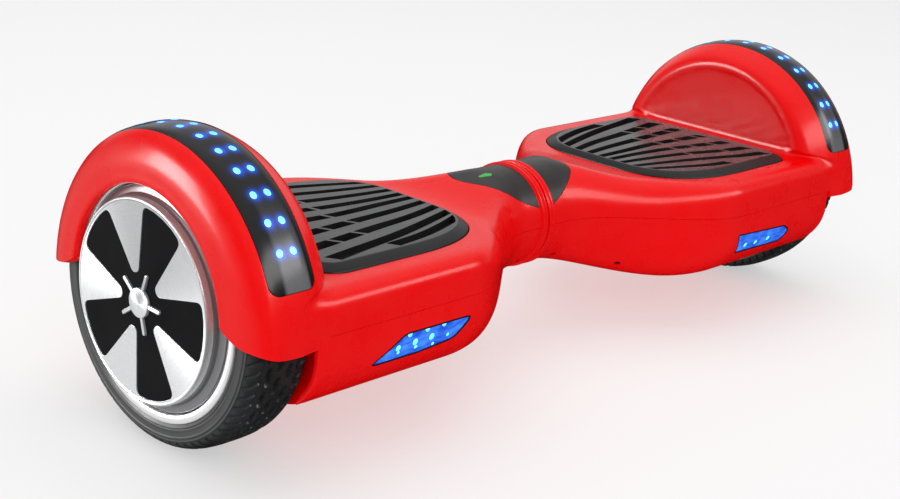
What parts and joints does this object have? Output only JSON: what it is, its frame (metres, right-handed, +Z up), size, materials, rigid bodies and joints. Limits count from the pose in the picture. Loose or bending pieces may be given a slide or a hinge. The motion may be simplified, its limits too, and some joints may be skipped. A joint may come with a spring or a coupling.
{
  "type": "self balancing hoverboard",
  "caption": "Two-wheel self balancing hoverboard: twin tilting foot platforms joined by a waist pivot, hub-motor wheels under arched fenders with light strips, and headlights.",
  "frame": {"origin": "on the ground, midway between the two wheels and under the axle line", "axes": "+X along the axle line to the rider's left, -Y the front with the headlights, +Z up"},
  "size_m": [0.5852, 0.1906, 0.1748],
  "materials": {
    "red_shell": "glossy saturated red moulded plastic",
    "smoked_lens": "glossy smoked black lens over the light strip",
    "headlight_lens": "clear lens with blue light behind it",
    "trim_plastic": "fine satin dark grey plastic",
    "pad_rubber": "moulded grey rubber with black slots",
    "tyre_rubber": "solid rubber tyre with block tread",
    "rim_white": "bright white-silver rim ring",
    "hub_silver": "machined silver hub cover",
    "inlay_black": "black petals on the hub cover",
    "dark_metal": "dark side cover of the hub motor",
    "steel": "plain machined steel",
    "cast_aluminium": "cast aluminium",
    "windings": "copper windings on a laminated core",
    "bushing_brass": "sintered bronze",
    "circuit_board": "green circuit board",
    "battery_pack": "blue shrink wrap over metal cells",
    "black_plastic": "satin black plastic",
    "cable": "black rubber",
    "green_light": "lit green indicator lens"
  },
  "bodies": {
    "right_half": {"upper_shell_r": "red_shell", "lower_shell_r": "red_shell", "fender_lens_r": "smoked_lens", "fender_led_board_r": "circuit_board", "headlight_lens_r": "headlight_lens", "headlight_board_r": "circuit_board", "trim_panel_r": "trim_plastic", "chassis_r": "cast_aluminium", "axle_clamp_r": "cast_aluminium", "gyro_board_r": "circuit_board", "belly_screw_r": "steel", "axle_r": "steel", "stator_r": "windings", "battery": "battery_pack", "pivot_bushing_inner": "bushing_brass", "pivot_bushing_outer": "bushing_brass", "stop_pin": "steel", "charge_port": "black_plastic", "battery_indicator": "green_light", "loom": "cable"},
    "left_half": {"upper_shell_l": "red_shell", "lower_shell_l": "red_shell", "fender_lens_l": "smoked_lens", "fender_led_board_l": "circuit_board", "headlight_lens_l": "headlight_lens", "headlight_board_l": "circuit_board", "trim_panel_l": "trim_plastic", "chassis_l": "cast_aluminium", "axle_clamp_l": "cast_aluminium", "gyro_board_l": "circuit_board", "belly_screw_l": "steel", "axle_l": "steel", "stator_l": "windings", "main_board": "circuit_board", "heat_sink": "cast_aluminium", "pivot_shaft": "steel", "retaining_ring": "steel"},
    "wheel_right": {"tyre_r": "tyre_rubber", "rim_r": "rim_white", "magnet_ring_r": "steel", "bearing_inboard_r": "steel", "bearing_outboard_r": "steel", "motor_cover_r": "dark_metal", "hub_cover_r": "hub_silver", "hub_inlay_r": "inlay_black", "centre_cap_r": "hub_silver"},
    "wheel_left": {"tyre_l": "tyre_rubber", "rim_l": "rim_white", "magnet_ring_l": "steel", "bearing_inboard_l": "steel", "bearing_outboard_l": "steel", "motor_cover_l": "dark_metal", "hub_cover_l": "hub_silver", "hub_inlay_l": "inlay_black", "centre_cap_l": "hub_silver"},
    "pad_right": {"foot_pad_r": "pad_rubber"},
    "pad_left": {"foot_pad_l": "pad_rubber"},
    "button": {"power_button": "black_plastic"},
    "port_cover": {"charge_cap": "cable"}
  },
  "joints": [
    {"name": "waist_twist", "type": "hinge", "parent": "right_half", "child": "left_half", "pos_m": [0, 0, 0.083], "axis": [1, 0, 0], "range_deg": [-15, 15]},
    {"name": "wheel_right_spin", "type": "hinge", "parent": "right_half", "child": "wheel_right", "pos_m": [-0.262, 0, 0.083], "axis": [1, 0, 0], "continuous": true},
    {"name": "wheel_left_spin", "type": "hinge", "parent": "left_half", "child": "wheel_left", "pos_m": [0.262, 0, 0.083], "axis": [1, 0, 0], "continuous": true},
    {"name": "pad_right_press", "type": "slide", "parent": "right_half", "child": "pad_right", "axis": [0, 0, -1], "range_m": [0, 0.002]},
    {"name": "pad_left_press", "type": "slide", "parent": "left_half", "child": "pad_left", "axis": [0, 0, -1], "range_m": [0, 0.002]},
    {"name": "power_button_press", "type": "slide", "parent": "right_half", "child": "button", "axis": [0, -1, 0], "range_m": [0, 0.0015]},
    {"name": "port_cover_hinge", "type": "hinge", "parent": "right_half", "child": "port_cover", "pos_m": [-0.182, 0.0942, 0.075], "axis": [1, 0, 0], "range_deg": [0, 120]}
  ]
}
